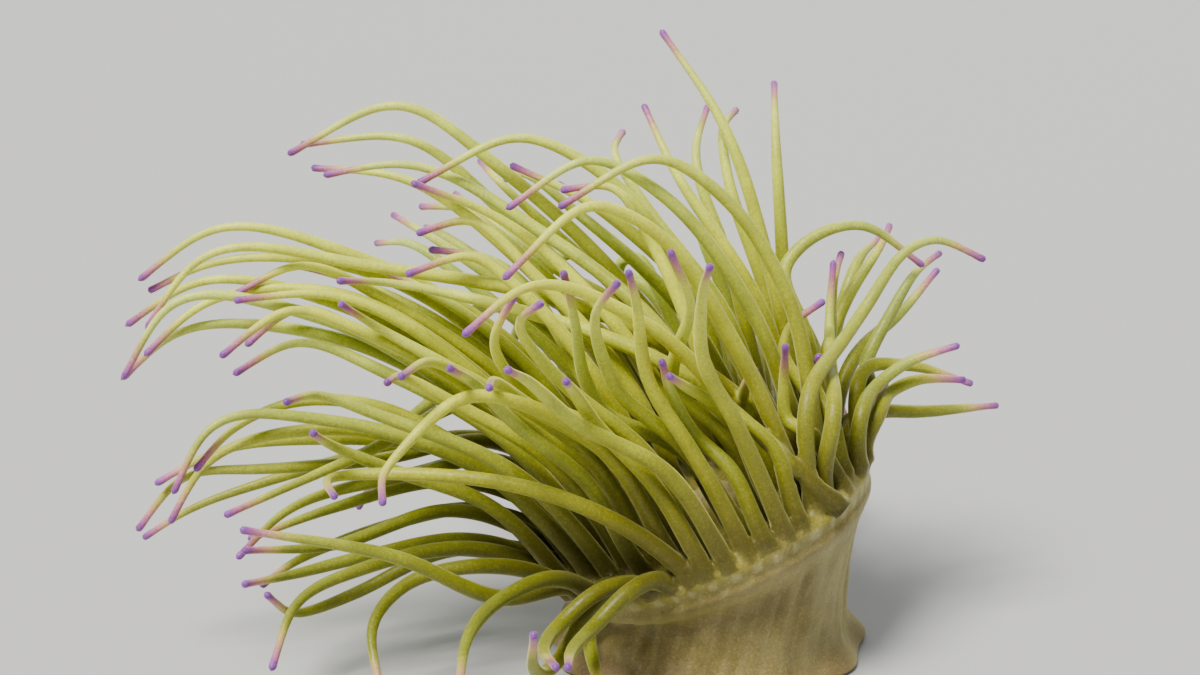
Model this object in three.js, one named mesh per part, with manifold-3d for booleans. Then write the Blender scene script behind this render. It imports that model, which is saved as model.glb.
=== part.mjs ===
// Snakelocks anemone (Anemonia viridis), life size, in millimetres.
// +Z is up, +X is to the right, -Y is the front, and the origin is the middle of the foot, on the floor.
// The body is a foot, a column, a collar, an oral disc and a mouth. Round the disc stand the tentacles,
// in sectors: each sector is a wedge of the disc's rim, in one piece with the tentacles that grow from it.

import * as THREE from "three";
import Module from "manifold-3d";

const wasm = await Module();
wasm.setup();

const RAD = Math.PI / 180;

// ---------------------------------------------------------------- driving dimensions

const GAP = 0.35; // between solids that touch in life
const SIDES = 26; // round the body
const SLIVER = 0.005; // edges shorter than this are closed up

// The foot spreads to an edge with two sets of waves. Its levels are shares of its height, each with
// how much it waves and, by that, how far it spreads.
const FOOT = { radius: 34, top: 30.2, height: 6, lobe: 1.1, slope: 3 };
const WAVES = { many: 9, few: 4, fewShare: 0.6 };
const FOOT_LEVELS = [
  { up: 0, wave: 0.6 },
  { up: 0.25, wave: 1 },
  { up: 0.7, wave: 0.4 },
];
const COLUMN = { bottom: 29.6, waist: 2, top: 30.6, rings: 5 };
const COLLAR = { thick: 3.2, under: 31.2, radius: 33.4, bevel: 0.5, bevelDown: 1.1 };

// The disc is tilted, with a rolled edge and a low cone round the mouth.
const DISC = { radius: 34.5, rim: 17.6, height: 30, tilt: 23, thick: 5.5 };
const ROLL = { underIn: 1, down: 2.6, shoulderIn: 1.2, shoulderDown: 0.6, faceIn: 3.6 };
const CONE = { height: 1.6, lowShare: 0.35, lowRadius: 0.7, room: 1.4 };
const MOUTH = { long: 7, wide: 4.2, lip: 1.6, sunk: 1.2, round: 1.1, roundDown: 0.9, sides: 12 };
const SLIT = { in: 1.9, wide: 0.45, floor: 0.8, flare: 0.5, clear: 0.3 };

const SECTORS = 24;
const SECTOR_TURN = 360 / SECTORS;

// The five tentacles of a sector: distance from the disc's middle, turn from the sector's own middle
// line in degrees, and how far each leans outwards from upright on the disc, in degrees.
const SEATS = [
  { out: 32.2, turn: -3.75, lean: 60 },
  { out: 32.2, turn: 3.75, lean: 60 },
  { out: 28, turn: 0, lean: 36 },
  { out: 24, turn: 1.5, lean: 22 },
  { out: 20.4, turn: -0.8, lean: 10 },
];

// A tentacle's radii, how it is set in the disc, and how many rings of corners its skin has.
const TENTACLE = { sides: 5, base: 1.9, tip: 0.76, taper: 0.62, end: 0.8, clear: 0.6 };
const ROOT = { depth: 2.6, neck: 3.4, radius: 1.5, inwards: 0.1, sideways: 0.2, rise: 0.35 };
const RINGS = { fewest: 3, most: 7, straight: 1.5, turn: 48, sharp: 120, apart: 4, steps: 60 };
const ARCH = { bow: 0.3, rise: 0.13, shoulder: 0.45 };

// How much the way to a tentacle's tip, and each degree of wrong lean, count when it is given a seat,
// against the way to its first bend.
const STRAIN = { tip: 0.4, lean: 0.01 };

// How the tentacles are eased apart: how hard they push, spring back home and even out, how high they
// stay over the floor, and how far they keep from the foot below a given height and from the column.
const EASE = { rounds: 520, yield: 0.5, spring: 0.03, even: 0.12, floor: 1 };
const SKIRT = { below: 12, radius: 36, above: 33.5 };

// The pose is laid out as it is seen from the front and a little above: millimetres across and up at
// the foot's distance from the eye, and millimetres behind the foot. Across starts beside the foot.
const EYE = { down: 15, distance: 420, across: -30, up: 63.5, beside: 8, first: 0.6 };

// The tentacles that show stand in sprays, laid out evenly from the first to the last. Each of these two
// is given by how far behind the foot its tip is, then by across and up for each bend and for its tip.
const SPRAYS = [
  { count: 7, first: [5, -82, 82, -104, 83, -120, 75], last: [-12, -90, 66, -114, 66, -125, 53] },
  { count: 6, first: [0, -84, 78, -101, 77.5], last: [-25, -88, 64, -104, 55] },
  { count: 3, first: [-5, -71, 77.5, -77, 79.5], last: [-28, -74, 66, -83, 69] },
  { count: 6, first: [-25, -84, 50, -103, 47, -113, 37], last: [-8, -90, 35, -110, 32, -122, 22] },
  { count: 3, first: [-35, -81, 48, -91, 51], last: [-55, -80, 35, -84.5, 34] },
  { count: 7, first: [-28, -88, 34, -103, 26], last: [-34, -88, 11, -98, 11] },
  { count: 3, first: [-45, -86, 16.5, -95, -5], last: [-62, -51.5, 9, -56, -9] },
  { count: 4, first: [-75, -39, 0.5, -44, 3.5], last: [-60, -31, 10, -31, -9] },
  { count: 6, first: [-45, -64, 54.5, -75, 56], last: [-66, -30, 46, -39, 55] },
  { count: 7, first: [-45, -42, 51, -50.5, 61, -48.5, 71], last: [-50, -9, 52, -6.5, 70, -9.5, 80] },
  { count: 2, first: [-50, -14, 60, -38, 74, -59.5, 65.5], last: [-40, -9, 70, -26, 87.5, -47.5, 75.5] },
  { count: 4, first: [-20, -50, 76, -66, 75], last: [-10, -53, 88, -66, 92] },
  { count: 4, first: [15, -42, 86, -60, 105.5, -91, 101.5], last: [10, -44, 78, -64, 89.5, -85, 96.5] },
  { count: 5, first: [20, -50, 95.5, -55, 97.5], last: [0, -24, 90, -36, 94] },
  { count: 3, first: [-5, -22, 86, -38, 102, -65, 92], last: [-12, 3, 80, -14, 96.5, -36.5, 90] },
  { count: 5, first: [25, -24, 97, -27, 107], last: [45, 3, 98, 6, 112] },
  { count: 5, first: [46, -60, 76, -74, 84], last: [42, -48, 85, -60, 91] },
  { count: 3, first: [15, 23, 66, 36, 81.5, 45, 81.5], last: [35, 22, 58, 27, 68, 35.5, 76.5] },
  { count: 5, first: [50, 25, 80, 27, 88.5], last: [-5, 9, 60, 13, 73] },
  { count: 4, first: [0, 24, 56, 41, 60], last: [20, 27, 50, 47, 50] },
  { count: 6, first: [4, 22, 50, 27, 61], last: [-42, -13, 47, -21, 57] },
];

// How far each strays from its even place, in depth and in its bends and tip, and how many radians the
// straying turns from one tentacle to the next, and from one size to the next.
const STRAY = { behind: 7, place: 2.4, turn: 2.4, apart: 2.1 };

// Four that stand out alone: the tallest, the long arch to the right, and two low ones to the left.
const LONE = [
  [30, -3, 101, -17.5, 124.5],
  [20, 6, 78, 20, 86, 34.5, 78],
  [-60, -36, 46, -57, 52, -73, 37, -73.5, 30.5],
  [-50, -44, 11, -70, 19.5, -101.5, 25],
];

// The tentacles behind, which trail away from the eye in three fans, one over the other. Each fan turns
// from one heading to the other, in degrees about the disc, with 90 straight back. It rises above the
// disc's middle at its bend, and its tips end below that middle, or above it where the drop is negative.
const FANS = [
  { count: 7, from: 62, to: 158, reach: 84, rise: 22, drop: 12 },
  { count: 7, from: 55, to: 150, reach: 70, rise: 34, drop: -2 },
  { count: 4, from: 75, to: 145, reach: 52, rise: 46, drop: -16 },
];
const SPREAD = { sway: 7, swayTurn: 2.4, lift: 0.5, uneven: 0.12, unevenTurn: 1.7, bend: 0.66 };

// ---------------------------------------------------------------- places

const turned = (degrees) => new THREE.Vector3(Math.cos(degrees * RAD), Math.sin(degrees * RAD), 0);
const at = (x, y, z) => new THREE.Vector3(x, y, z);

// The disc's own frame: its middle, the way its face looks, and the two directions in its plane.
const MIDDLE = at(0, 0, DISC.height);
const FACE = at(-Math.sin(DISC.tilt * RAD), 0, Math.cos(DISC.tilt * RAD));
const UPHILL = at(Math.cos(DISC.tilt * RAD), 0, Math.sin(DISC.tilt * RAD));
const BACK = at(0, 1, 0);

function onDisc(radius, degrees, height) {
  const flat = turned(degrees);
  return MIDDLE.clone()
    .addScaledVector(UPHILL, radius * flat.x)
    .addScaledVector(BACK, radius * flat.y)
    .addScaledVector(FACE, height);
}

function seen(across, up, behind) {
  const tilt = EYE.down * RAD;
  const raise = EYE.up / Math.cos(tilt);
  const eye = at(EYE.across, -EYE.distance * Math.cos(tilt), raise + EYE.distance * Math.sin(tilt));
  const sight = at(0, Math.cos(tilt), -Math.sin(tilt))
    .addScaledVector(at(1, 0, 0), (across - EYE.across) / EYE.distance)
    .addScaledVector(at(0, Math.sin(tilt), Math.cos(tilt)), (up - EYE.up) / EYE.distance);
  return eye.addScaledVector(sight, (behind - eye.y) / sight.y).add(at(EYE.beside, 0, 0));
}

// ---------------------------------------------------------------- seats and the tentacles that take them

// Every place where a tentacle stands, with the disc's own directions there.
function allSeats() {
  const seats = [];
  for (let sector = 0; sector < SECTORS; sector += 1) {
    for (const place of SEATS) {
      const turn = sector * SECTOR_TURN + place.turn;
      const foot = onDisc(place.out, turn, 0);
      const outwards = onDisc(1, turn, 0).sub(MIDDLE);
      const sideways = onDisc(1, turn + 90, 0).sub(MIDDLE);
      seats.push({ sector, foot, outwards, sideways, lean: place.lean });
    }
  }
  return seats;
}

// A tentacle leaves the disc leaning the way it goes, never so far that it would lie on its neighbours.
function rooted(seat, path) {
  const goal = path[0].clone().sub(seat.foot).normalize();
  const rise = Math.max(ROOT.rise, goal.dot(FACE));
  const most = Math.tan(seat.lean * RAD);
  const out = Math.min(most, Math.max(-ROOT.inwards, goal.dot(seat.outwards) / rise));
  const side = Math.min(ROOT.sideways, Math.max(-ROOT.sideways, goal.dot(seat.sideways) / rise));
  const way = FACE.clone().addScaledVector(seat.outwards, out).addScaledVector(seat.sideways, side);
  way.normalize();
  return {
    root: seat.foot.clone().addScaledVector(way, -ROOT.depth),
    neck: seat.foot.clone().addScaledVector(way, ROOT.neck),
  };
}

function fanned() {
  const paths = [];
  for (const fan of FANS) {
    for (let n = 0; n < fan.count; n += 1) {
      const heading = fan.from + ((fan.to - fan.from) * (n + 0.5)) / fan.count;
      const sway = Math.sin(n * SPREAD.swayTurn + fan.reach) * SPREAD.sway;
      const long = fan.reach * (1 + SPREAD.uneven * Math.sin(n * SPREAD.unevenTurn + fan.drop));
      const bend = at(0, 0, DISC.height + fan.rise + sway * SPREAD.lift);
      bend.addScaledVector(turned(heading + sway), long * SPREAD.bend);
      const tip = at(0, 0, DISC.height - fan.drop).addScaledVector(turned(heading - sway), long);
      paths.push([bend, tip]);
    }
  }
  return paths;
}

function posed(row) {
  const behind = row[0];
  const paces = (row.length - 1) / 2;
  const path = [];
  for (let n = 0; n < paces; n += 1) {
    const share = n / (paces - 1);
    const depth = behind * (EYE.first + (1 - EYE.first) * share);
    path.push(seen(row[1 + n * 2], row[2 + n * 2], depth));
  }
  return path;
}

// The tentacles of one spray, none of them quite in its even place.
function sprayed({ count, first, last }, spray) {
  return Array.from({ length: count }, (_, n) => {
    const share = n / (count - 1);
    const row = first.map((size, k) => {
      const most = k > 0 ? STRAY.place : STRAY.behind;
      const stray = Math.sin(n * STRAY.turn + k * STRAY.apart + spray) * most;
      return size + (last[k] - size) * share + stray;
    });
    return posed(row);
  });
}

const lean = (p) => p.clone().sub(MIDDLE).angleTo(FACE) / RAD;

// How badly a path suits a seat: how far it has to go, and how wrongly the seat leans. Ways count by
// their logarithm, so that a path that passes close over a seat gets it before a far one does.
function strain(seat, path) {
  const bend = Math.log(seat.foot.distanceTo(path[0]));
  const tip = Math.log(seat.foot.distanceTo(path.at(-1)));
  return bend + STRAIN.tip * tip + STRAIN.lean * Math.abs(lean(path[0]) - seat.lean);
}

// Seats and paths start in any order and change partners as long as that brings them closer.
function seated(paths) {
  const seats = allSeats();
  const taken = [...paths];
  let better = true;
  while (better) {
    better = false;
    for (let i = 0; i < seats.length; i += 1) {
      for (let j = i + 1; j < seats.length; j += 1) {
        const now = strain(seats[i], taken[i]) + strain(seats[j], taken[j]);
        const swapped = strain(seats[i], taken[j]) + strain(seats[j], taken[i]);
        if (swapped < now - 1e-6) {
          [taken[i], taken[j]] = [taken[j], taken[i]];
          better = true;
        }
      }
    }
  }
  return seats.map((seat, n) => ({ sector: seat.sector, ...rooted(seat, taken[n]), path: taken[n] }));
}

// ---------------------------------------------------------------- the tentacles' lines

// A tentacle stands up from the disc before it leans over, and its last stretch goes on bending.
function arched(neck, path) {
  const [bend, tip] = path.slice(-2);
  const chord = tip.clone().sub(neck).normalize();
  const bow = bend.clone().sub(neck);
  bow.addScaledVector(chord, -bow.dot(chord)).multiplyScalar(ARCH.bow);
  const first = path[0].clone().sub(neck);
  const rise = at(0, 0, first.length() * ARCH.rise);
  rise.addScaledVector(first.clone().normalize(), -rise.dot(first) / first.length());
  const shoulder = neck.clone().addScaledVector(first, ARCH.shoulder).add(rise);
  return [shoulder, ...path.slice(0, -1), bend.clone().lerp(tip, 0.5).add(bow), tip];
}

// A tentacle's line: points from root to tip, closer together where it turns, and its radii.
function lineOf({ sector, root, neck, path }) {
  const curve = new THREE.CatmullRomCurve3([root, neck, ...arched(neck, path)], false, "centripetal");
  const start = (ROOT.depth + ROOT.neck) / curve.getLength();
  const steps = RINGS.steps;
  const place = (n) => curve.getPointAt(Math.min(1, start + ((1 - start) * n) / steps));
  const fine = Array.from({ length: steps + 1 }, (_, n) => place(n));
  const paces = [0];
  let turn = 0;
  for (let n = 1; n < steps; n += 1) {
    const on = fine[n + 1].clone().sub(fine[n]);
    const angle = fine[n].clone().sub(fine[n - 1]).angleTo(on) / RAD;
    turn += angle;
    paces.push(paces[n - 1] + 1 / steps + angle / RINGS.sharp);
  }
  paces.push(paces[steps - 1] + 1 / steps);
  const wanted = Math.round(RINGS.straight + turn / RINGS.turn);
  const rings = Math.min(RINGS.most, Math.max(RINGS.fewest, wanted));
  const points = [root.clone(), neck.clone()];
  const radii = [ROOT.radius, TENTACLE.base];
  let step = 0;
  for (let n = 1; n <= rings; n += 1) {
    const due = paces.findIndex((pace) => pace >= (paces[steps] * n) / rings);
    step = Math.min(steps - RINGS.apart * (rings - n), Math.max(step + RINGS.apart, due));
    points.push(fine[step].clone());
    radii.push(TENTACLE.tip + (TENTACLE.base - TENTACLE.tip) * (1 - step / steps) ** TENTACLE.taper);
  }
  return { sector, points, radii };
}

// Nearest points of two straight stretches, as shares of each.
function nearest(a, b, c, d) {
  const u = b.clone().sub(a);
  const v = d.clone().sub(c);
  const w = a.clone().sub(c);
  const uu = u.dot(u);
  const uv = u.dot(v);
  const vv = v.dot(v);
  const uw = u.dot(w);
  const vw = v.dot(w);
  const bottom = uu * vv - uv * uv;
  let s = bottom > 1e-9 ? Math.min(1, Math.max(0, (uv * vw - vv * uw) / bottom)) : 0.5;
  let t = (uv * s + vw) / vv;
  if (t < 0 || t > 1) {
    t = Math.min(1, Math.max(0, t));
    s = Math.min(1, Math.max(0, (uv * t - uw) / uu));
  }
  const apart = w.addScaledVector(u, s).addScaledVector(v, -t);
  return { s, t, apart };
}

// Every tentacle is eased clear of the others, of the body and of the floor. The root and neck stay put.
function easedApart(lines) {
  const stretches = [];
  lines.forEach((line, owner) => {
    line.home = line.points.map((p) => p.clone());
    line.push = line.points.map(() => at(0, 0, 0));
    for (let n = 0; n < line.points.length - 1; n += 1) stretches.push({ owner, line, n });
  });
  for (let round = 0; round < EASE.rounds; round += 1) {
    const settled = round / EASE.rounds;
    for (const s of stretches) {
      s.middle = s.line.points[s.n].clone().add(s.line.points[s.n + 1]).multiplyScalar(0.5);
      s.half = s.line.points[s.n].distanceTo(s.line.points[s.n + 1]) / 2;
    }
    for (let i = 0; i < stretches.length; i += 1) {
      const a = stretches[i];
      for (let j = i + 1; j < stretches.length; j += 1) {
        const b = stretches[j];
        if (a.owner === b.owner) continue;
        const far = a.half + b.half + 2 * TENTACLE.base + TENTACLE.clear;
        if (a.middle.distanceToSquared(b.middle) > far * far) continue;
        parted(a, b);
      }
    }
    for (const line of lines) moved(line, settled);
  }
}

// Two stretches that come too close push each other away, each by half of what is missing.
function parted(a, b) {
  const [a0, a1] = [a.line.points[a.n], a.line.points[a.n + 1]];
  const [b0, b1] = [b.line.points[b.n], b.line.points[b.n + 1]];
  const { s, t, apart } = nearest(a0, a1, b0, b1);
  const ra = a.line.radii[a.n] * (1 - s) + a.line.radii[a.n + 1] * s;
  const rb = b.line.radii[b.n] * (1 - t) + b.line.radii[b.n + 1] * t;
  const missing = ra + rb + TENTACLE.clear - apart.length();
  if (missing <= 0) return;
  if (apart.length() < 1e-6) apart.crossVectors(a1.clone().sub(a0), b1.clone().sub(b0));
  apart.normalize().multiplyScalar(missing * EASE.yield);
  a.line.push[a.n].addScaledVector(apart, 1 - s);
  a.line.push[a.n + 1].addScaledVector(apart, s);
  b.line.push[b.n].addScaledVector(apart, t - 1);
  b.line.push[b.n + 1].addScaledVector(apart, -t);
}

// How far a point stands out from the middle of its two neighbours.
function bowAt(points, n) {
  return points[n].clone().addScaledVector(points[n - 1], -0.5).addScaledVector(points[n + 1], -0.5);
}

function moved(line, settled) {
  const last = line.points.length - 1;
  for (let n = 2; n <= last; n += 1) {
    const p = line.points[n];
    p.add(line.push[n]);
    p.addScaledVector(line.home[n].clone().sub(p), EASE.spring * (1 - settled) ** 2);
    if (n < last) {
      const bow = bowAt(line.home, n).sub(bowAt(line.points, n));
      p.addScaledVector(bow, EASE.even * (1 - settled));
    }
    outOfBody(p, line.radii[n]);
    p.z = Math.max(p.z, line.radii[n] + EASE.floor);
  }
  line.push.forEach((push) => push.set(0, 0, 0));
}

// A point that lies in the disc, the column or the foot is moved out by the shorter way.
function outOfBody(p, radius) {
  const room = radius + TENTACLE.clear;
  const local = p.clone().sub(MIDDLE);
  const height = local.dot(FACE);
  if (height > room) return;
  const flat = local.addScaledVector(FACE, -height);
  const overDisc = flat.length() < DISC.radius + room;
  const rimMissing = DISC.radius + room - flat.length();
  const faceMissing = room - height;
  const underneath = -DISC.thick - COLLAR.thick - GAP;
  if (overDisc && height > underneath) {
    if (faceMissing < rimMissing) p.addScaledVector(FACE, faceMissing);
    else p.addScaledVector(flat.normalize(), rimMissing);
    return;
  }
  const reach = Math.hypot(p.x, p.y);
  const skirt = p.z < SKIRT.below ? SKIRT.radius + radius : SKIRT.above + room;
  if (height < underneath && reach < skirt) {
    p.x *= skirt / reach;
    p.y *= skirt / reach;
  }
}

// ---------------------------------------------------------------- solids

function solidOf(points, faces) {
  const mesh = new wasm.Mesh({
    numProp: 3,
    vertProperties: new Float32Array(points.flatMap((p) => [p.x, p.y, p.z])),
    triVerts: new Uint32Array(faces.flat()),
  });
  return new wasm.Manifold(mesh);
}

// A closed skin over rings of equal count, with a point or a flat fan at each end.
function skinned(rings, first, last) {
  const sides = rings[0].length;
  const points = [first, ...rings.flat(), last];
  const faces = [];
  const end = points.length - 1;
  const corner = (ring, side) => 1 + ring * sides + (side % sides);
  for (let side = 0; side < sides; side += 1) {
    faces.push([0, corner(0, side + 1), corner(0, side)]);
    for (let ring = 0; ring < rings.length - 1; ring += 1) {
      const [a, b] = [corner(ring, side), corner(ring, side + 1)];
      const [c, d] = [corner(ring + 1, side), corner(ring + 1, side + 1)];
      faces.push([a, b, d], [a, d, c]);
    }
    faces.push([end, corner(rings.length - 1, side), corner(rings.length - 1, side + 1)]);
  }
  return solidOf(points, faces);
}

function tentacleOf({ points, radii }) {
  const rings = [];
  let side = null;
  points.forEach((p, n) => {
    const before = points[Math.max(0, n - 1)];
    const after = points[Math.min(points.length - 1, n + 1)];
    const back = n > 0 ? p.clone().sub(before).normalize() : at(0, 0, 0);
    const on = n < points.length - 1 ? after.clone().sub(p).normalize() : at(0, 0, 0);
    const way = back.add(on).normalize();
    side = side ?? at(0, 1, 0).cross(way);
    side.addScaledVector(way, -side.dot(way)).normalize();
    const other = way.clone().cross(side);
    const ring = [];
    for (let k = 0; k < TENTACLE.sides; k += 1) {
      const { x, y } = turned((k * 360) / TENTACLE.sides);
      ring.push(p.clone().addScaledVector(side, x * radii[n]).addScaledVector(other, y * radii[n]));
    }
    rings.push(ring);
  });
  const tip = points.at(-1);
  const end = tip.clone().sub(points.at(-2)).setLength(TENTACLE.end).add(tip);
  return skinned(rings, points[0], end);
}

// A wedge of the disc's rim, between two planes that leave half a gap to each neighbour.
function wedgeOf(sector) {
  const profile = [
    [DISC.rim + GAP, -DISC.thick],
    [DISC.radius - ROLL.underIn, -DISC.thick],
    [DISC.radius, -ROLL.down],
    [DISC.radius - ROLL.shoulderIn, -ROLL.shoulderDown],
    [DISC.radius - ROLL.faceIn, 0],
    [DISC.rim + GAP, 0],
  ];
  const ends = [-1, 1].map((way) =>
    profile.map(([radius, height]) => {
      const half = SECTOR_TURN / 2 - (GAP / 2 / radius) / RAD;
      return onDisc(radius, sector * SECTOR_TURN + way * half, height);
    }),
  );
  const faces = [];
  const count = profile.length;
  for (let n = 0; n < count; n += 1) {
    const m = (n + 1) % count;
    faces.push([n, m + count, m], [n, n + count, m + count]);
    if (n > 0 && n < count - 1) faces.push([0, n, n + 1], [count, count + n + 1, count + n]);
  }
  return solidOf(ends.flat(), faces);
}

function crownOf(sector, lines) {
  const mine = lines.filter((line) => line.sector === sector);
  const whole = mine.reduce((made, line) => made.add(tentacleOf(line)), wedgeOf(sector));
  return whole.asOriginal().simplify(SLIVER);
}

// A ring of points round the body: a place for its middle, two directions and a radius for each turn.
function ringAround(middle, across, back, radiusAt) {
  return Array.from({ length: SIDES }, (_, n) => {
    const turn = (n * 360) / SIDES;
    const flat = turned(turn);
    const radius = radiusAt(turn);
    return middle.clone().addScaledVector(across, flat.x * radius).addScaledVector(back, flat.y * radius);
  });
}

function footOf() {
  const wavy = (share) => (turn) => {
    const few = WAVES.fewShare * Math.sin(turn * RAD * WAVES.few + 1);
    const waves = Math.sin(turn * RAD * WAVES.many) + few;
    return FOOT.radius + FOOT.lobe * share * (waves - 1) - (1 - share) * FOOT.slope;
  };
  const level = (z, radiusAt) => ringAround(at(0, 0, z), at(1, 0, 0), BACK, radiusAt);
  const rings = FOOT_LEVELS.map(({ up, wave }) => level(FOOT.height * up, wavy(wave)));
  rings.push(level(FOOT.height, () => FOOT.top));
  return skinned(rings, at(0, 0, 0), at(0, 0, FOOT.height));
}

function columnOf() {
  const bottom = at(0, 0, FOOT.height + GAP);
  const top = onDisc(0, 0, -DISC.thick - COLLAR.thick - 2 * GAP);
  const rings = [];
  for (let n = 0; n <= COLUMN.rings; n += 1) {
    const share = n / COLUMN.rings;
    const across = at(1, 0, 0).lerp(UPHILL, share).normalize();
    const waist = Math.sin(share * Math.PI) * COLUMN.waist;
    const radius = COLUMN.bottom + (COLUMN.top - COLUMN.bottom) * share - waist;
    rings.push(ringAround(bottom.clone().lerp(top, share), across, BACK, () => radius));
  }
  return skinned(rings, bottom, top);
}

const discRing = (height, radius) => ringAround(onDisc(0, 0, height), UPHILL, BACK, () => radius);

function collarOf() {
  const low = -DISC.thick - GAP - COLLAR.thick;
  const high = -DISC.thick - GAP;
  const rings = [
    discRing(low, COLLAR.under),
    discRing(high - COLLAR.bevelDown, COLLAR.radius),
    discRing(high, COLLAR.radius - COLLAR.bevel),
  ];
  return skinned(rings, onDisc(0, 0, low), onDisc(0, 0, high));
}

function oval(long, wide, height) {
  return Array.from({ length: MOUTH.sides }, (_, n) => {
    const { x, y } = turned((n * 360) / MOUTH.sides);
    return onDisc(0, 0, height).addScaledVector(UPHILL, x * long).addScaledVector(BACK, y * wide);
  });
}

function discOf() {
  const rings = [
    discRing(-DISC.thick, DISC.rim),
    discRing(0, DISC.rim),
    discRing(CONE.height * CONE.lowShare, DISC.rim * CONE.lowRadius),
    discRing(CONE.height, MOUTH.long + CONE.room),
  ];
  const plate = skinned(rings, onDisc(0, 0, -DISC.thick), onDisc(0, 0, CONE.height));
  const [long, wide] = [MOUTH.long + GAP, MOUTH.wide + GAP];
  const floor = CONE.height - MOUTH.sunk - GAP;
  const above = CONE.height + SLIT.clear;
  const walls = [oval(long, wide, floor), oval(long, wide, above)];
  return plate.subtract(skinned(walls, onDisc(0, 0, floor), onDisc(0, 0, above)));
}

function mouthOf() {
  const floor = CONE.height - MOUTH.sunk;
  const high = CONE.height + MOUTH.lip;
  const rings = [
    oval(MOUTH.long, MOUTH.wide, floor),
    oval(MOUTH.long, MOUTH.wide, high - MOUTH.roundDown),
    oval(MOUTH.long - MOUTH.round, MOUTH.wide - MOUTH.round, high),
  ];
  const lips = skinned(rings, onDisc(0, 0, floor), onDisc(0, 0, high));
  const long = MOUTH.long - SLIT.in;
  const low = floor + SLIT.floor;
  const above = high + SLIT.clear;
  const walls = [oval(long, SLIT.wide, low), oval(long + SLIT.flare, SLIT.wide + SLIT.flare, above)];
  return lips.subtract(skinned(walls, onDisc(0, 0, low), onDisc(0, 0, above)));
}

// ---------------------------------------------------------------- the model

const COLOURS = {
  foot: 0x8a7f66,
  column: 0x8f8468,
  collar: 0x8d8464,
  disc: 0x7c7440,
  mouth: 0xa39a6a,
  tentacles: 0xa89e3e,
};

const group = new THREE.Group();
group.name = "sea_anemone";

function addPart(name, solid, colour) {
  const made = solid.getMesh();
  const geometry = new THREE.BufferGeometry();
  geometry.setAttribute("position", new THREE.BufferAttribute(new Float32Array(made.vertProperties), 3));
  geometry.setIndex(new THREE.BufferAttribute(new Uint32Array(made.triVerts), 1));
  geometry.computeVertexNormals();
  const material = new THREE.MeshStandardMaterial({ color: colour, roughness: 0.55 });
  const mesh = new THREE.Mesh(geometry, material);
  mesh.name = name;
  group.add(mesh);
}

const paths = [...SPRAYS.flatMap(sprayed), ...LONE.map(posed), ...fanned()];
const lines = seated(paths).map(lineOf);
easedApart(lines);

addPart("foot", footOf(), COLOURS.foot);
addPart("column", columnOf(), COLOURS.column);
addPart("collar", collarOf(), COLOURS.collar);
addPart("oral_disc", discOf(), COLOURS.disc);
addPart("mouth", mouthOf(), COLOURS.mouth);
for (let sector = 0; sector < SECTORS; sector += 1) {
  const number = String(sector + 1).padStart(2, "0");
  addPart(`crown_${number}`, crownOf(sector, lines), COLOURS.tentacles);
}

export default group;
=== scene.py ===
import math

import bmesh
import bpy
import numpy
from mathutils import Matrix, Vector, kdtree, noise


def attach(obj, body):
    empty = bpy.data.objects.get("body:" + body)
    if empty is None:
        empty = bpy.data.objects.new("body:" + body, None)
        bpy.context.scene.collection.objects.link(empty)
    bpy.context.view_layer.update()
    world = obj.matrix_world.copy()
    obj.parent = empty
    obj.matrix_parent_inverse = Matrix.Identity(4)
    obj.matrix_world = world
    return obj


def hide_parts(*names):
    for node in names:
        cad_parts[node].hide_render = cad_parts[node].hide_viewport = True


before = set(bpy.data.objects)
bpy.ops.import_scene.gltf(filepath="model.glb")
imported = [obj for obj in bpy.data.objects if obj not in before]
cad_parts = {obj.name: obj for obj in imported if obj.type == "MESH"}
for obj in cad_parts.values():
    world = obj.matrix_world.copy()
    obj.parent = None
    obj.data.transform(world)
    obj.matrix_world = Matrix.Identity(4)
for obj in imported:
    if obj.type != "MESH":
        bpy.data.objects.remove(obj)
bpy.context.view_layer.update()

MM = 0.001
bpy.ops.object.select_all(action="DESELECT")

# ---------------------------------------------------------------- foot, column and disc

# The body is one soft stump of flesh: a foot that spreads to a thin wavy edge, a short column, a
# rolled rim with pale beads, and a tilted disc that rises to the mouth. It is turned as a lathe
# would turn it, then creased and tilted by its own measures.
foot_radius = 34.6 * MM
foot_waves = 9
column_folds = 30
rim_beads = 48
rim_starts = (24.4 * MM, 26.0 * MM)
rim_ends = (26.6 * MM, 28.2 * MM)
rim_depth = 9.4  # in millimetres
disc_height = 30 * MM
disc_tilt = math.radians(23)
mouth_furrows = 20
lathe_steps = 192
uphill = Vector((math.cos(disc_tilt), 0, math.sin(disc_tilt)))
outward = Vector((-math.sin(disc_tilt), 0, math.cos(disc_tilt)))
back = Vector((0, 1, 0))
column_low = 6.35 * MM
column_high = disc_height - rim_depth * MM

# Radius and height, from the middle of the foot's underside out, up and in to the mouth's floor.
body_profile = [
    (0.0, 0.0), (14.0, 0.0), (24.0, 0.0), (31.0, 0.0), (33.2, 0.25), (34.0, 0.8), (33.6, 1.7),
    (32.5, 2.9), (31.2, 4.5), (30.2, 6.4), (29.2, 9.0), (28.6, 12.0), (28.6, 15.0), (29.2, 17.8),
    (30.6, 20.2), (32.2, 21.8), (33.2, 23.4), (33.2, 24.8), (33.6, 26.0), (34.3, 27.4),
    (33.3, 29.4), (30.9, 30.0), (26.0, 30.05), (21.0, 30.0), (17.0, 30.1), (12.3, 30.56),
    (9.6, 31.1), (8.0, 31.9), (7.0, 32.9), (5.9, 33.3), (4.9, 32.9), (4.3, 31.6), (3.6, 31.2),
    (0.0, 31.2),
]
bpy.ops.curve.primitive_bezier_curve_add(location=(0, 0, 0))
profile = bpy.context.object
spline = profile.data.splines[0]
spline.bezier_points.add(len(body_profile) - 2)
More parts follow.
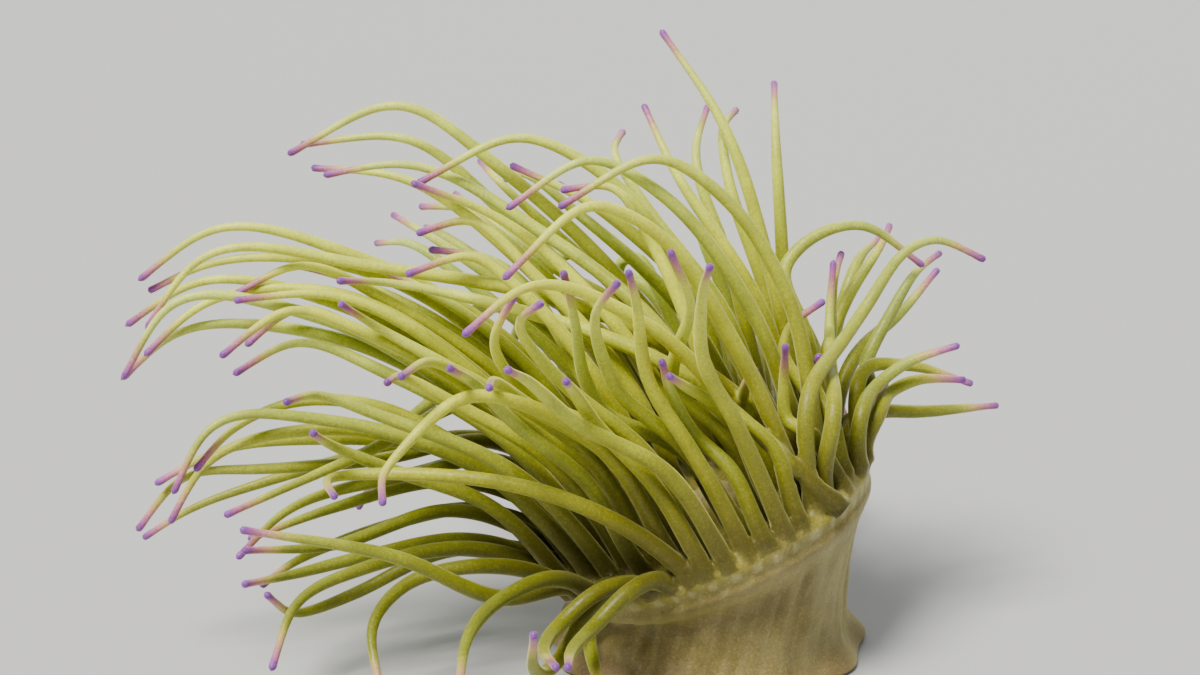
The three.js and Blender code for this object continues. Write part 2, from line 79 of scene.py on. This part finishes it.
for point, (radius, height) in zip(spline.bezier_points, body_profile):
    point.co = (radius * MM, 0, height * MM)
    point.handle_left_type = point.handle_right_type = "AUTO"
spline.resolution_u = 3
bpy.ops.object.convert(target="MESH")
body = bpy.context.object
body.name = "body"
bpy.ops.object.mode_set(mode="EDIT")
bpy.ops.mesh.select_all(action="SELECT")
bpy.ops.mesh.spin(steps=lathe_steps, angle=2 * math.pi, center=(0, 0, 0), axis=(0, 0, 1))
bpy.ops.mesh.select_all(action="SELECT")
bpy.ops.mesh.remove_doubles(threshold=0.00001)
bpy.ops.mesh.normals_make_consistent(inside=False)
bpy.ops.object.mode_set(mode="OBJECT")


def turn_share(place, near=None):
    """How far round the axis a place is, from 0 to 1, or on the same lap as another such share."""
    share = math.atan2(place.y, place.x) / (2 * math.pi) % 1
    if near is None:
        return share
    if math.hypot(place.x, place.y) < 1e-7:
        return near
    return share + round(near - share)


# The skin is laid out flat for painting: once round is the width, and the profile is the height.
# The body has the lowest strip of the map, with the underside first, then the column and the disc.
body_strip = 0.19
underside_share = 0.2
column_share = 0.42
disc_start = 0.62
disc_share = 0.38
body_map = body.data.uv_layers.new(name="OFBake")
for face in body.data.polygons:
    near = turn_share(face.center)
    for loop in face.loop_indices:
        place = body.data.vertices[body.data.loops[loop].vertex_index].co
        radius = math.hypot(place.x, place.y)
        if place.z < 0.1 * MM:
            up = underside_share * radius / foot_radius
        elif place.z < disc_height - 1 * MM:
            up = underside_share + column_share * place.z / disc_height
        else:
            up = disc_start + disc_share * (1 - radius / foot_radius) ** 0.8
        body_map.data[loop].uv = (turn_share(place, near), body_strip * up)


def eased(value, low, high):
    """0 below low, 1 above high, and a soft rise between them."""
    share = min(1.0, max(0.0, (value - low) / (high - low)))
    return share * share * (3 - 2 * share)


def creased(turn, height):
    """How far the skin stands out or sinks in at one place on the upright body, in millimetres."""
    foot = 1 - eased(height, 1.5 * MM, 11 * MM)
    wall = eased(height, 3 * MM, 10 * MM) * (1 - eased(height, 19 * MM, 24 * MM))
    round_about = Vector((math.cos(turn), math.sin(turn), 0))
    lobes = foot * (math.sin(foot_waves * turn) + 0.6 * math.sin(4 * turn + 1) - 1.2)
    lobes += foot * 1.6 * (noise.noise(round_about * 2.3) - 0.35)
    slack = noise.noise(round_about * 1.4 + Vector((0, 0, height / MM / 14)))
    drift = 0.9 * noise.noise(round_about * 1.7 + Vector((3, 0, height / MM / 40)))
    fold = 0.5 + 0.5 * math.sin(column_folds * (turn + 0.12 * drift) + 2 * drift)
    depth = 0.55 + 0.6 * noise.noise(round_about * 3.1 + Vector((0, 7, height / MM / 18)))
    ripple = noise.noise(round_about * 9 + Vector((0, 0, height / MM / 2.2)))
    return lobes + wall * (1.1 * slack - 0.75 * depth * fold ** 2 + 0.22 * ripple)


def beaded(turn, height):
    """1 on the middle of a rim bead, 0 between the beads and away from the rim."""
    drift = 2 * noise.noise(Vector((math.cos(turn), math.sin(turn), 0)) * 4)
    across = math.sin(rim_beads / 2 * turn + drift) ** 2
    return across * eased(height, *rim_starts) * (1 - eased(height, *rim_ends))


body_zone = []
body_bead = []
for vertex in body.data.vertices:
    x, y, height = vertex.co
    radius = math.hypot(x, y)
    turn = math.atan2(y, x)
    lift = height - disc_height
    bead = 0.0
    if height > 29.5 * MM:
        # Fine furrows run in to the mouth, which is drawn out into an oval with a closed slit.
        near_mouth = 1 - eased(radius, 7 * MM, 12 * MM)
        inside = 1 - eased(radius, 3.6 * MM, 5.6 * MM) if height > 31 * MM else 0
        lift += 0.16 * MM * math.sin(rim_beads * turn) * eased(radius, 5 * MM, 13 * MM)
        lift += 0.22 * MM * math.sin(mouth_furrows * turn) * near_mouth * (1 - inside)
        x *= 1 - 0.1 * near_mouth
        y *= (1 - 0.42 * near_mouth) * (1 - 0.86 * inside)
        zone = 1 + near_mouth
    else:
        bead = beaded(turn, height)
        swell = creased(turn, height) * eased(radius, 14 * MM, 30 * MM)
        swell = swell + 0.4 * bead - 0.15
        x += swell * MM * math.cos(turn)
        y += swell * MM * math.sin(turn)
        zone = 0.5 * eased(height, 2 * MM, 9 * MM) + 0.5 * eased(height, 22 * MM, 29 * MM)
    share = min(1.0, max(0.0, (height - column_low) / (column_high - column_low)))
    across = (Vector((1, 0, 0)) * (1 - share) + uphill * share).normalized()
    if height < column_low:
        middle = Vector((0, 0, height))
    elif height < column_high:
        top = Vector((0, 0, disc_height)) - outward * rim_depth * MM
        middle = Vector((0, 0, column_low)).lerp(top, share)
    else:
        middle = Vector((0, 0, disc_height)) + outward * lift
    vertex.co = middle + across * x + back * y
    vertex.co.z = max(0.0, vertex.co.z)
    body_zone.append(zone)
    body_bead.append(bead)

# ---------------------------------------------------------------- tentacles

# 120 soft feelers stand in rings round the mouth, each a tapering tube of flesh with a violet tip.
# Each one's middle line is read off the crown that it grows on: its tip is a corner with five
# neighbours, and rings of five corners lead down from there to the disc.
crown_sides = 5
thickest_ring = 2.6 * MM
widest_tip = 1.6 * MM
same_corner = 2e-6


def line_of(tip, ring, near):
    """The middle line of one feeler, from the disc to its tip."""
    line = [tip.co.copy()]
    walked = {tip}
    while len(ring) == crown_sides:
        corners = [v.co for v in sorted(ring, key=lambda v: v.index)]
        middle = sum(corners, Vector()) / crown_sides
        radius = sum((corner - middle).length for corner in corners) / crown_sides
        if radius > thickest_ring:
            break
        line.append(middle)
        walked |= ring
        ring = set().union(*(near[v] for v in ring)) - walked
    return line[::-1]


lines = []
for name in sorted(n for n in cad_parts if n.startswith("crown")):
    solid = bmesh.new()
    solid.from_mesh(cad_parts[name].data)
    bmesh.ops.remove_doubles(solid, verts=solid.verts, dist=same_corner)
    solid.verts.index_update()
    near = {v: {e.other_vert(v) for e in v.link_edges} for v in solid.verts}
    for tip in solid.verts:
        ring = near[tip]
        if len(ring) != crown_sides or any(len(near[v] & ring) != 2 for v in ring):
            continue
        if max((v.co - tip.co).length for v in ring) > widest_tip:
            continue
        line = line_of(tip, ring, near)
        if len(line) > 2:
            lines.append(line)
    solid.free()

steepening = 0.8
root_depth = 2.2 * MM


def rooted(line):
    """The line carried on down into the disc, so that the flesh of both runs together."""
    first, second = line[0], line[1]
    height = (first - Vector((0, 0, disc_height))).dot(outward)
    way = (first - second).normalized()
    way = (way - outward * steepening).normalized()
    depth = max(0.0, height) / max(0.35, -way.dot(outward)) + root_depth
    return [first + way * depth] + line


def tangents(line):
    """The direction of travel at each point of a line whose points are unevenly spaced."""
    found = []
    for n in range(len(line)):
        before = line[max(0, n - 1)]
        here = line[n]
        after = line[min(len(line) - 1, n + 1)]
        one = max(1e-6, (here - before).length)
        two = max(1e-6, (after - here).length)
        if n == 0 or n == len(line) - 1:
            found.append((after - before).normalized())
        else:
            found.append(((here - before) / one * two + (after - here) / two * one).normalized())
    return found


fine_cuts = 24
bend_weight = 9
smoothing_rounds = 8
easing_rounds = 120
tightest_bend = 2.2 * MM


def averaged(steps, n):
    """Where a step comes to lie when its two neighbours draw it in between them."""
    return (steps[n - 1] + steps[n] * 2 + steps[n + 1]) / 4


def smoothed(line, count):
    """The same line in count even steps, closer together where it bends."""
    ways = tangents(line)
    fine = []
    for start, end, leaving, arriving in zip(line, line[1:], ways, ways[1:]):
        span = (end - start).length
        for cut in range(fine_cuts):
            t = cut / fine_cuts
            s = t * t * (3 - 2 * t)
            place = start * (1 - s) + end * s
            place += leaving * span * t * (1 - t) * (1 - t) - arriving * span * t * t * (1 - t)
            fine.append(place)
    fine.append(line[-1])
    weight = [0.0]
    for n in range(1, len(fine)):
        step = (fine[n] - fine[n - 1]).length
        bend = 0.0
        if 1 < n:
            bend = (fine[n] - fine[n - 1]).angle(fine[n - 1] - fine[n - 2], 0.0)
        weight.append(weight[-1] + step + bend * bend_weight * MM)
    steps = []
    n = 0
    for k in range(count):
        goal = weight[-1] * k / (count - 1)
        while n < len(fine) - 2 and weight[n + 1] < goal:
            n += 1
        part = (goal - weight[n]) / max(1e-9, weight[n + 1] - weight[n])
        part = min(1.0, max(0.0, part))
        steps.append(fine[n].lerp(fine[n + 1], part))
    # The ends stay where they are. The rest is smoothed, and then a bend that is too tight for the
    # feeler's thickness is eased, because it would fold the skin inside it.
    inner = range(3, count - 2)
    for _ in range(smoothing_rounds):
        steps[3:-2] = [averaged(steps, n) for n in inner]
    for _ in range(easing_rounds):
        for n in inner:
            one = steps[n] - steps[n - 1]
            two = steps[n + 1] - steps[n]
            if one.angle(two, 0.0) * tightest_bend > (one.length + two.length) / 2:
                steps[n] = averaged(steps, n)
    return steps


# One feeler is modelled straight: a tube in rings, drawn together at the top.
tentacle_rings = 62
tentacle_sides = 10
bpy.ops.object.select_all(action="DESELECT")
bpy.ops.mesh.primitive_cylinder_add(
    vertices=tentacle_sides, radius=1, depth=1, end_fill_type="TRIFAN", location=(0, 0, 0)
)
straight = bpy.context.object
straight.name = "feeler"
bpy.ops.object.mode_set(mode="EDIT")
bpy.ops.mesh.select_mode(type="EDGE")
bpy.ops.mesh.select_all(action="DESELECT")
shape = bmesh.from_edit_mesh(straight.data)
for edge in shape.edges:
    if abs(edge.verts[0].co.z - edge.verts[1].co.z) > 0.5:
        edge.select_set(True)
bmesh.update_edit_mesh(straight.data)
bpy.ops.mesh.subdivide(number_cuts=tentacle_rings - 2)
bpy.ops.mesh.select_mode(type="VERT")
bpy.ops.mesh.select_all(action="DESELECT")
shape = bmesh.from_edit_mesh(straight.data)
for vertex in shape.verts:
    if vertex.co.z > 0.4999:
        vertex.select_set(True)
bmesh.update_edit_mesh(straight.data)
bpy.ops.mesh.merge(type="CENTER")
bpy.ops.object.mode_set(mode="OBJECT")


# The stem's radius and how far it falls are given in millimetres. The flare at the root and the
# swelling at the tip come on top, and the tip is rounded off by a dome.
stem_radius = 1.94
stem_taper = 0.95
late_taper = 0.34
root_flare = 0.5 * MM
tip_swelling = 0.1 * MM
tip_dome = 0.72 * MM
tip_colour_reach = 14 * MM
flare_start = 2.4 * MM
flare_fall = 1.4 * MM


def dressed(points, line, number):
    """For each step the radius, the share of the length behind it, and how far the tip is off."""
    length = 0.0
    for start, end in zip(line, line[1:]):
        length += (end - start).length
    made = []
    travelled = 0.0
    for n, point in enumerate(points):
        if n:
            travelled += (point - points[n - 1]).length
        share = min(1.0, travelled / length)
        narrowing = stem_taper * share ** 0.8
        radius = (stem_radius - narrowing - late_taper * eased(share, 0.62, 0.97)) * MM
        wave = noise.noise(Vector((share * 9, number * 3.7, 0.0)))
        radius *= 1 + 0.04 * wave
        radius += tip_swelling * (1 - eased(length - travelled, 0.8 * MM, 3.2 * MM))
        root = travelled - flare_start
        flare = root_flare * math.exp(-max(0.0, root) / flare_fall)
        radius += flare * (1 - eased(root, 4 * MM, 6 * MM))
        left = max(0.0, length - travelled)
        if left < tip_dome:
            radius *= math.sqrt(max(0.0, 1 - (1 - left / tip_dome) ** 2))
        made.append((radius, share, min(1.0, left / tip_colour_reach)))
    return made


straight_map = straight.data.uv_layers.new(name="OFBake")
for face in straight.data.polygons:
    near = turn_share(face.center)
    for loop in face.loop_indices:
        place = straight.data.vertices[straight.data.loops[loop].vertex_index].co
        straight_map.data[loop].uv = (turn_share(place, near), place.z + 0.5)
straight.data.uv_layers.remove(straight.data.uv_layers["UVMap"])

# Each feeler is a copy of the straight one, bent along its line. What the colours follow is noted
# for every corner: the share of the length, the way to the tip, the feeler's own tone, the zone of
# the body, the bead that it is on, and whether it is on a feeler.
map_columns = 24
map_rows = 5
tip_steps = (0.34, 0.62, 0.86, 1.0)
feelers = []
known = [
    (vertex.co.copy(), 0.0, 1.0, 0.5, zone, bead, 0.0)
    for vertex, zone, bead in zip(body.data.vertices, body_zone, body_bead)
]
for number, line in enumerate(lines):
    whole = rooted(line)
    # Steps crowd together in the last millimetre, where the tip is rounded off.
    points = smoothed(whole, tentacle_rings + 1 - len(tip_steps))
    last, before = points[-1], points[-2]
    points[-1:] = [before.lerp(last, t) for t in tip_steps]
    sizes = dressed(points, whole, number)
    tone = 0.5 + 0.5 * noise.noise(Vector((number * 1.37, 4.2, 0.0)))
    feeler = straight.copy()
    feeler.data = straight.data.copy()
    bpy.context.collection.objects.link(feeler)
    side = points[0].orthogonal()
    frames = []
    for n, point in enumerate(points):
        way = (points[min(n + 1, len(points) - 1)] - points[max(n - 1, 0)]).normalized()
        side = (side - way * side.dot(way)).normalized()
        frames.append((side.copy(), way.cross(side)))
    for vertex in feeler.data.vertices:
        n = round((vertex.co.z + 0.5) * (tentacle_rings - 1))
        radius, share, left = sizes[n]
        one, two = frames[n]
        vertex.co = points[n] + (one * vertex.co.x + two * vertex.co.y) * radius
        known.append((vertex.co.copy(), share, left, tone, 1.0, 0.0, 1.0))
    column, row = number % map_columns, number // map_columns
    for corner in feeler.data.uv_layers["OFBake"].data:
        u, v = corner.uv
        across = (column + 0.1 + 0.88 * u) / map_columns
        corner.uv = (across, 0.2 + 0.8 * (row + 0.02 + 0.96 * v) / map_rows)
    feelers.append(feeler)
bpy.data.objects.remove(straight)

# ---------------------------------------------------------------- one skin

# The living flesh has no seams, so the feelers are joined to the body in one closed skin, a few at
# a time so that no two in one batch touch. The creases where they leave the disc are eased into
# fillets.
batches = 12
for first in range(batches):
    bpy.ops.object.select_all(action="DESELECT")
    batch = feelers[first::batches]
    for feeler in batch:
        feeler.select_set(True)
    bpy.context.view_layer.objects.active = batch[0]
    bpy.ops.object.join()
    joined = body.modifiers.new("joined", "BOOLEAN")
    joined.operation = "UNION"
    joined.solver = "MANIFOLD"
    joined.object = batch[0]
    bpy.ops.object.select_all(action="DESELECT")
    body.select_set(True)
    bpy.context.view_layer.objects.active = body
    bpy.ops.object.modifier_apply(modifier="joined")
    bpy.data.objects.remove(batch[0])
skin = body
skin.name = "anemone_skin"

# A corner that was already known keeps what was noted for it. One that the joining made lies in a
# crease, and takes over what was noted for the nearest known corner.
known_reach = 0.002 * MM
places = kdtree.KDTree(len(known))
for n, row in enumerate(known):
    places.insert(row[0], n)
places.balance()
creases = kdtree.KDTree(len(skin.data.vertices))
rows = []
for vertex in skin.data.vertices:
    _, n, off = places.find(vertex.co)
    rows.append(known[n][1:])
    if off > known_reach:
        creases.insert(vertex.co, vertex.index)
creases.balance()

# What the colours follow is kept on the corners. The change from disc to feeler is spread out, a
# little further in each round.
noted = ("along", "left", "tone", "zone", "bead", "feeler")
spreading_rounds = 7
values = numpy.array(rows)
on_feeler = noted.index("feeler")
ends = numpy.array([edge.vertices[:] for edge in skin.data.edges])
shared = numpy.bincount(ends.ravel(), minlength=len(values))
for _ in range(spreading_rounds):
    own = values[:, on_feeler]
    around = numpy.bincount(ends[:, 0], own[ends[:, 1]], len(values))
    around += numpy.bincount(ends[:, 1], own[ends[:, 0]], len(values))
    values[:, on_feeler] = 0.4 * own + 0.6 * around / shared
for n, name in enumerate(noted):
    made = skin.data.attributes.new(name, "FLOAT", "POINT")
    made.data.foreach_set("value", values[:, n])

# Where only two faces share a corner they are cut into triangles before the creases are smoothed,
# so that no triangle comes to lie on another.
crease_reach = 1.5 * MM
bpy.ops.object.mode_set(mode="EDIT")
bpy.ops.mesh.select_mode(type="VERT")
bpy.ops.mesh.select_all(action="DESELECT")
shape = bmesh.from_edit_mesh(skin.data)
for vertex in shape.verts:
    if len(vertex.link_edges) == 2:
        for face in vertex.link_faces:
            face.select_set(True)
bmesh.update_edit_mesh(skin.data)
bpy.ops.mesh.quads_convert_to_tris(quad_method="BEAUTY", ngon_method="BEAUTY")
bpy.ops.mesh.select_all(action="DESELECT")
shape = bmesh.from_edit_mesh(skin.data)
for vertex in shape.verts:
    if creases.find(vertex.co)[2] < crease_reach:
        vertex.select_set(True)
shape.select_flush_mode()
bmesh.update_edit_mesh(skin.data)
bpy.ops.mesh.vertices_smooth(factor=0.5, repeat=6)

# Now all is cut into triangles, and a sliver that the smoothing turned over, or a cleft that it
# nearly shut, is smoothed open again.
sharpest_fold = math.radians(160)
opening_rounds = 8
bpy.ops.mesh.select_all(action="SELECT")
bpy.ops.mesh.quads_convert_to_tris(quad_method="BEAUTY", ngon_method="BEAUTY")
for _ in range(opening_rounds):
    bpy.ops.mesh.select_all(action="DESELECT")
    shape = bmesh.from_edit_mesh(skin.data)
    for edge in shape.edges:
        if edge.calc_face_angle(0.0) > sharpest_fold:
            for face in edge.link_faces:
                for vertex in face.verts:
                    vertex.select_set(True)
    shape.select_flush_mode()
    bmesh.update_edit_mesh(skin.data)
    bpy.ops.mesh.vertices_smooth(factor=0.5, repeat=2)
bpy.ops.object.mode_set(mode="OBJECT")
bpy.ops.object.shade_smooth()

# Wet, soft and slightly clear flesh: light goes in a little way, and the surface has a faint sheen.
flesh = bpy.data.materials.new("anemone_flesh")
flesh.use_nodes = True
nodes = flesh.node_tree.nodes
links = flesh.node_tree.links
where = nodes.new("ShaderNodeTexCoord")
shader = nodes["Principled BSDF"]
shader.inputs["Roughness"].default_value = 0.5
shader.inputs["Specular IOR Level"].default_value = 0.32
shader.inputs["Subsurface Weight"].default_value = 0.5
shader.inputs["Subsurface Radius"].default_value = (1.0, 0.85, 0.3)
shader.inputs["Subsurface Scale"].default_value = 1.5 * MM
shader.inputs["Sheen Weight"].default_value = 0.4
shader.inputs["Sheen Roughness"].default_value = 0.45
shader.inputs["Sheen Tint"].default_value = (1.0, 0.98, 0.34, 1)


def linear(code):
    """A colour written as a six-figure code, in the values that a shader reads."""
    parts = [int(code[n:n + 2], 16) / 255 for n in (0, 2, 4)]
    return [p / 12.92 if p < 0.04045 else ((p + 0.055) / 1.055) ** 2.4 for p in parts] + [1]


def value_of(name):
    """What was noted on the corners under this name."""
    reader = nodes.new("ShaderNodeAttribute")
    reader.attribute_name = name
    return reader.outputs["Fac"]


def ramp(value, stops):
    """A colour that changes with a value, through the colours given at each place."""
    made = nodes.new("ShaderNodeValToRGB")
    links.new(value, made.inputs["Fac"])
    band = made.color_ramp
    while len(band.elements) < len(stops):
        band.elements.new(0.5)
    for element, (place, code) in zip(band.elements, stops):
        element.position = place
        element.color = linear(code)
    return made.outputs["Color"]


def mixed(share, one, two, way="MIX"):
    """Two colours laid together, with that share of the second."""
    made = nodes.new("ShaderNodeMix")
    made.data_type = "RGBA"
    made.blend_type = way
    if isinstance(share, float):
        made.inputs[0].default_value = share
    else:
        links.new(share, made.inputs[0])
    for socket, colour in ((made.inputs[6], one), (made.inputs[7], two)):
        if isinstance(colour, list):
            socket.default_value = colour
        else:
            links.new(colour, socket)
    return made.outputs[2]


def between(value, low, high, start=0.0, end=1.0):
    """A soft change from start to end while the value goes from low to high."""
    made = nodes.new("ShaderNodeMapRange")
    made.interpolation_type = "SMOOTHSTEP"
    links.new(value, made.inputs["Value"])
    made.inputs["From Min"].default_value = low
    made.inputs["From Max"].default_value = high
    made.inputs["To Min"].default_value = start
    made.inputs["To Max"].default_value = end
    return made.outputs["Result"]


def grain(scale, detail=2.0, rough=0.5):
    """An uneven pattern through the flesh, finer the larger its scale is."""
    made = nodes.new("ShaderNodeTexNoise")
    links.new(where.outputs["Object"], made.inputs["Vector"])
    made.inputs["Scale"].default_value = scale
    made.inputs["Detail"].default_value = detail
    made.inputs["Roughness"].default_value = rough
    return made.outputs["Fac"]


def reckoned(one, two, way="ADD"):
    """The sum of two values, or what another way of reckoning makes of them."""
    made = nodes.new("ShaderNodeMath")
    made.operation = way
    for socket, part in zip(made.inputs, (one, two)):
        if isinstance(part, float):
            socket.default_value = part
        else:
            links.new(part, socket)
    return made.outputs["Value"]


# Feelers: dull olive at the root, partly their own colour and partly painted shade where they
# crowd, yellow or green along the stem, and violet at the tip. Those at the back are greener, and
# painted shade darkens them towards the floor and to the right.
share_along = value_of("along")
own_tone = value_of("tone")
from_tip = value_of("left")
which = value_of("zone")

# The darkest stops at the root are deepened partly as painted shade, where the feelers crowd
# together.
yellow = ramp(share_along, [
    (0.0, "6a5f24"), (0.07, "857a24"), (0.22, "a7a326"),
    (0.5, "c9cb28"), (0.78, "dfe446"), (1.0, "e3e86c"),
])
green = ramp(share_along, [
    (0.0, "545114"), (0.07, "73721d"), (0.22, "919828"),
    (0.5, "a9bb4a"), (0.78, "b8cf70"), (1.0, "c4da88"),
])
place = nodes.new("ShaderNodeSeparateXYZ")
links.new(where.outputs["Object"], place.inputs[0])
far_back = between(place.outputs["Y"], -0.03, 0.08, 0.0, 0.6)
far = reckoned(far_back, between(own_tone, 0.35, 0.75, 0.0, 0.5))
stem_colour = mixed(far, yellow, green)
# Painted shade: the feelers grow darker towards the floor, where less of the daylight reaches.
low_painted_shade = between(place.outputs["Z"], 0.012, 0.085, 1.0, 0.0)
stem_low_shaded = mixed(low_painted_shade, stem_colour, linear("92925a"), "MULTIPLY")
# Painted shade: the feelers grow darker to the right, on the side away from the daylight.
right_painted_shade = between(place.outputs["X"], -0.005, 0.035, 0.0, 0.45)
stem_shaded = mixed(right_painted_shade, stem_low_shaded, linear("b0b090"), "MULTIPLY")
tip_colour = ramp(from_tip, [
    (0.0, "7a3fa6"), (0.08, "9450aa"), (0.18, "b4669e"),
    (0.3, "c38490"), (0.45, "cca676"), (0.68, "d6c85c"),
])
feeler_colour = mixed(between(from_tip, 0.34, 0.82, 1.0, 0.0), stem_shaded, tip_colour)

# Lines run up the column, where the walls inside are fixed, and in over the disc to the mouth.
# The column's middle leans as it rises, so the turn is taken about that leaning middle.
column_lines = 48.0
column_lean = 0.24
leaning = reckoned(reckoned(place.outputs["Z"], column_low, "SUBTRACT"), column_lean, "MULTIPLY")
off_middle = reckoned(place.outputs["X"], leaning, "SUBTRACT")
column_turn = reckoned(place.outputs["Y"], off_middle, "ARCTAN2")
column_drift = reckoned(grain(60), 9.0, "MULTIPLY")
column_phase = reckoned(reckoned(column_turn, column_lines, "MULTIPLY"), column_drift)
column_line = between(reckoned(column_phase, 0.0, "SINE"), 0.2, 0.95)
from_middle = nodes.new("ShaderNodeVectorMath")
from_middle.operation = "SUBTRACT"
links.new(where.outputs["Object"], from_middle.inputs[0])
from_middle.inputs[1].default_value = (0, 0, disc_height)
up_disc = nodes.new("ShaderNodeVectorMath")
up_disc.operation = "DOT_PRODUCT"
links.new(from_middle.outputs["Vector"], up_disc.inputs[0])
up_disc.inputs[1].default_value = uphill
disc_turn = reckoned(place.outputs["Y"], up_disc.outputs["Value"], "ARCTAN2")
disc_phase = reckoned(reckoned(disc_turn, float(rim_beads), "MULTIPLY"), grain(90))
disc_line = between(reckoned(disc_phase, 0.0, "SINE"), 0.1, 0.9)

# Body: brown foot, olive column with pale lines, dull disc with pale furrows, and pale rim beads.
column_colour = ramp(which, [
    (0.0, "86714e"), (0.15, "75653d"), (0.5, "786a38"), (0.75, "837834"), (1.0, "958c33"),
])
blotches = between(grain(75, 4.0, 0.6), 0.4, 0.68, 0.0, 0.6)
mottled = mixed(blotches, column_colour, linear("97895a"))
lined = mixed(reckoned(column_line, 0.16, "MULTIPLY"), mottled, linear("a69a6c"))
column_done = mixed(between(which, 0.02, 0.2), mottled, lined)
disc_colour = ramp(reckoned(which, 1.0, "SUBTRACT"), [
    (0.0, "7f7628"), (0.5, "93853a"), (1.0, "b3a468"),
])
disc_done = mixed(reckoned(disc_line, 0.35, "MULTIPLY"), disc_colour, linear("bdb272"))
body_colour = mixed(between(which, 0.98, 1.02), column_done, disc_done)
bead_share = between(value_of("bead"), 0.3, 1.0, 0.0, 0.32)
body_done = mixed(bead_share, body_colour, linear("cfc79a"))
plain = mixed(value_of("feeler"), body_done, feeler_colour)

# All of it is speckled with pale grains, dotted with darker ones and faintly clouded.
specks = between(grain(2100, 2.0), 0.5, 0.68, 0.0, 0.65)
dots = between(grain(1700, 1.0), 0.3, 0.48, 0.22, 0.0)
clouds = between(grain(140, 3.0), 0.35, 0.65, 0.2, 0.0)
speckled = mixed(specks, plain, linear("f2eecc"), "SOFT_LIGHT")
dotted = mixed(dots, speckled, linear("98923e"), "MULTIPLY")
clouded = mixed(clouds, dotted, linear("5c5818"), "MULTIPLY")
links.new(clouded, shader.inputs["Base Color"])
links.new(between(grain(900, 2.0), 0.3, 0.7, 0.38, 0.56), shader.inputs["Roughness"])
bump = nodes.new("ShaderNodeBump")
bump.inputs["Strength"].default_value = 0.4
bump.inputs["Distance"].default_value = 0.12 * MM
links.new(reckoned(grain(1700, 3.0), grain(500, 2.0)), bump.inputs["Height"])
links.new(bump.outputs["Normal"], shader.inputs["Normal"])
skin.data.materials.clear()
skin.data.materials.append(flesh)

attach(skin, "root")
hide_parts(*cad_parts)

# ---------------------------------------------------------------- floor, light and camera

# A pale, even floor, soft daylight from the upper left with a fainter light from behind, and a
# camera that looks down by 15 degrees.
bpy.ops.object.select_all(action="DESELECT")
bpy.ops.mesh.primitive_plane_add(size=6, location=(0, 0, 0))
floor = bpy.context.object
floor.name = "floor"
paint = bpy.data.materials.new("floor_paint")
paint.use_nodes = True
paint_shader = paint.node_tree.nodes["Principled BSDF"]
paint_shader.inputs["Base Color"].default_value = (0.46, 0.46, 0.45, 1)
paint_shader.inputs["Roughness"].default_value = 0.9
floor.data.materials.append(paint)

world = bpy.data.worlds.new("studio")
bpy.context.scene.world = world
world.use_nodes = True
sky = world.node_tree.nodes["Background"]
sky.inputs["Color"].default_value = (0.93, 0.96, 1.0, 1)
sky.inputs["Strength"].default_value = 0.36

bpy.ops.object.light_add(type="SUN", rotation=(math.radians(24), math.radians(-22), 0))
daylight = bpy.context.object
daylight.name = "daylight"
daylight.data.energy = 6.2
daylight.data.angle = math.radians(22)
daylight.data.color = (1.0, 0.98, 0.93)
bpy.ops.object.light_add(type="SUN", rotation=(math.radians(-58), math.radians(12), 0))
rim_light = bpy.context.object
rim_light.name = "rim_light"
rim_light.data.energy = 1.2
rim_light.data.angle = math.radians(40)
rim_light.data.color = (0.94, 0.98, 1.0)

look = math.radians(15)
distance = 420  # in millimetres
aim = Vector((-22, 0, 65.74)) * MM
away = Vector((0, -math.cos(look), math.sin(look))) * distance * MM
bpy.ops.object.camera_add(location=aim + away, rotation=(math.pi / 2 - look, 0, 0))
camera = bpy.context.object
camera.name = "camera"
camera.data.sensor_width = 36
camera.data.lens = 63
camera.data.clip_start = 0.01
bpy.context.scene.camera = camera
